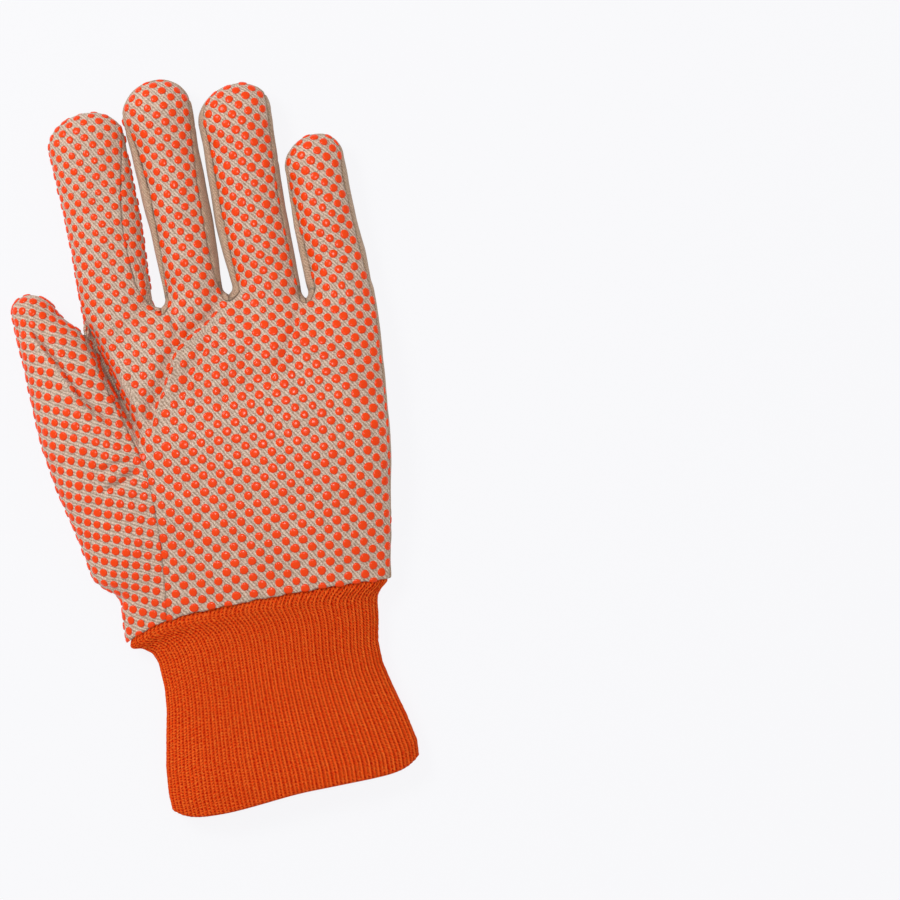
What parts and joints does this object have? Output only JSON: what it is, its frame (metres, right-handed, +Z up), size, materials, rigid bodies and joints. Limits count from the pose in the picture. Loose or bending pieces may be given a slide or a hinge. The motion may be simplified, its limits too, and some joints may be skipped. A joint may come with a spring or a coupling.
{
  "type": "canvas work glove",
  "caption": "Cotton canvas work glove with a dotted grip palm and a rib-knit wrist, lying flat with its palm up.",
  "frame": {"origin": "middle of the glove's footprint, on the surface that it lies on", "axes": "+Y from the wrist to the fingertips, +Z up out of the palm, +X from the thumb to the little finger"},
  "size_m": [0.1282, 0.2599, 0.0204],
  "materials": {
    "dotted_canvas": "napped cotton canvas with soft orange grip dots",
    "plain_canvas": "matte cotton twill",
    "rib_knit": "matte orange rib knit",
    "grip_dots": "soft glossy orange vinyl"
  },
  "bodies": {
    "root": {"dotted_palm": "dotted_canvas", "dotted_thumb": "dotted_canvas", "back_middle": "plain_canvas", "back_ring": "plain_canvas", "back_little": "plain_canvas", "knit_cuff": "rib_knit"}
  },
  "joints": []
}
